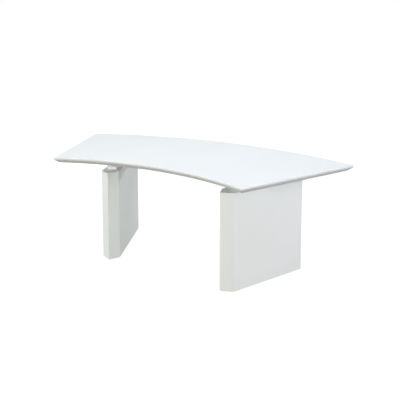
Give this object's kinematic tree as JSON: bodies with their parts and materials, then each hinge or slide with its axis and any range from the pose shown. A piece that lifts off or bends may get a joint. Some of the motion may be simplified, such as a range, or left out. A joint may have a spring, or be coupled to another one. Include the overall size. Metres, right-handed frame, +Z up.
{
  "type": "curved desk",
  "caption": "Crescent-shaped desk with a bevel-edged desktop on hexagonal slab pedestals, with recessed riser blocks and levelling screw feet.",
  "frame": {"origin": "on the floor, under the middle of the desk's outline, where the pads stand with the feet screwed right in", "axes": "+Z up, +X to the right along the desk's length as seen by the person who sits at the concave edge facing +Y"},
  "size_m": [2.1978, 1.0846, 0.76],
  "materials": {
    "lacquered_mdf": "white satin lacquer on MDF",
    "bare_mdf": "bare sanded MDF",
    "zinc_plated_steel": "bright zinc plating",
    "turned_brass": "turned brass",
    "moulded_nylon": "moulded grey nylon"
  },
  "bodies": {
    "desk_body": {"desktop": "lacquered_mdf", "left_front_nose_outer_board": "lacquered_mdf", "left_front_nose_inner_board": "lacquered_mdf", "left_outer_side_panel": "lacquered_mdf", "left_inner_side_panel": "lacquered_mdf", "left_rear_nose_outer_board": "lacquered_mdf", "left_rear_nose_inner_board": "lacquered_mdf", "left_top_plate": "lacquered_mdf", "left_base_plate": "bare_mdf", "left_riser_block": "lacquered_mdf", "left_front_rib": "bare_mdf", "left_rear_rib": "bare_mdf", "left_front_tie_rod": "zinc_plated_steel", "left_rear_tie_rod": "zinc_plated_steel", "left_front_rod_nut": "zinc_plated_steel", "left_rear_rod_nut": "zinc_plated_steel", "left_front_rod_washer": "zinc_plated_steel", "left_rear_rod_washer": "zinc_plated_steel", "left_front_desktop_insert": "turned_brass", "left_rear_desktop_insert": "turned_brass", "left_front_foot_insert": "zinc_plated_steel", "left_rear_foot_insert": "zinc_plated_steel", "right_front_nose_outer_board": "lacquered_mdf", "right_front_nose_inner_board": "lacquered_mdf", "right_outer_side_panel": "lacquered_mdf", "right_inner_side_panel": "lacquered_mdf", "right_rear_nose_outer_board": "lacquered_mdf", "right_rear_nose_inner_board": "lacquered_mdf", "right_top_plate": "lacquered_mdf", "right_base_plate": "bare_mdf", "right_riser_block": "lacquered_mdf", "right_front_rib": "bare_mdf", "right_rear_rib": "bare_mdf", "right_front_tie_rod": "zinc_plated_steel", "right_rear_tie_rod": "zinc_plated_steel", "right_front_rod_nut": "zinc_plated_steel", "right_rear_rod_nut": "zinc_plated_steel", "right_front_rod_washer": "zinc_plated_steel", "right_rear_rod_washer": "zinc_plated_steel", "right_front_desktop_insert": "turned_brass", "right_rear_desktop_insert": "turned_brass", "right_front_foot_insert": "zinc_plated_steel", "right_rear_foot_insert": "zinc_plated_steel"},
    "left_front_pad": {"left_front_foot_pad": "moulded_nylon"},
    "left_front_stem": {"left_front_foot_stem": "zinc_plated_steel"},
    "left_rear_pad": {"left_rear_foot_pad": "moulded_nylon"},
    "left_rear_stem": {"left_rear_foot_stem": "zinc_plated_steel"},
    "right_front_pad": {"right_front_foot_pad": "moulded_nylon"},
    "right_front_stem": {"right_front_foot_stem": "zinc_plated_steel"},
    "right_rear_pad": {"right_rear_foot_pad": "moulded_nylon"},
    "right_rear_stem": {"right_rear_foot_stem": "zinc_plated_steel"}
  },
  "joints": [
    {"name": "left_front_foot_height", "type": "slide", "parent": "desk_body", "child": "left_front_pad", "axis": [0, 0, -1], "range_m": [0, 0.012]},
    {"name": "left_front_foot_turn", "type": "hinge", "parent": "left_front_pad", "child": "left_front_stem", "pos_m": [-0.48186, -0.22033, 0], "axis": [0, 0, -1], "range_deg": [0, 3450]},
    {"name": "left_rear_foot_height", "type": "slide", "parent": "desk_body", "child": "left_rear_pad", "axis": [0, 0, -1], "range_m": [0, 0.012]},
    {"name": "left_rear_foot_turn", "type": "hinge", "parent": "left_rear_pad", "child": "left_rear_stem", "pos_m": [-0.70329, 0.26779, 0], "axis": [0, 0, -1], "range_deg": [0, 3450]},
    {"name": "right_front_foot_height", "type": "slide", "parent": "desk_body", "child": "right_front_pad", "axis": [0, 0, -1], "range_m": [0, 0.012]},
    {"name": "right_front_foot_turn", "type": "hinge", "parent": "right_front_pad", "child": "right_front_stem", "pos_m": [0.48186, -0.22033, 0], "axis": [0, 0, -1], "range_deg": [0, 3450]},
    {"name": "right_rear_foot_height", "type": "slide", "parent": "desk_body", "child": "right_rear_pad", "axis": [0, 0, -1], "range_m": [0, 0.012]},
    {"name": "right_rear_foot_turn", "type": "hinge", "parent": "right_rear_pad", "child": "right_rear_stem", "pos_m": [0.70329, 0.26779, 0], "axis": [0, 0, -1], "range_deg": [0, 3450]}
  ],
  "couplings": [
    {"joint": "left_front_foot_height", "follows": "left_front_foot_turn", "m_per_rad": 0.00019894},
    {"joint": "left_rear_foot_height", "follows": "left_rear_foot_turn", "m_per_rad": 0.00019894},
    {"joint": "right_front_foot_height", "follows": "right_front_foot_turn", "m_per_rad": 0.00019894},
    {"joint": "right_rear_foot_height", "follows": "right_rear_foot_turn", "m_per_rad": 0.00019894}
  ]
}
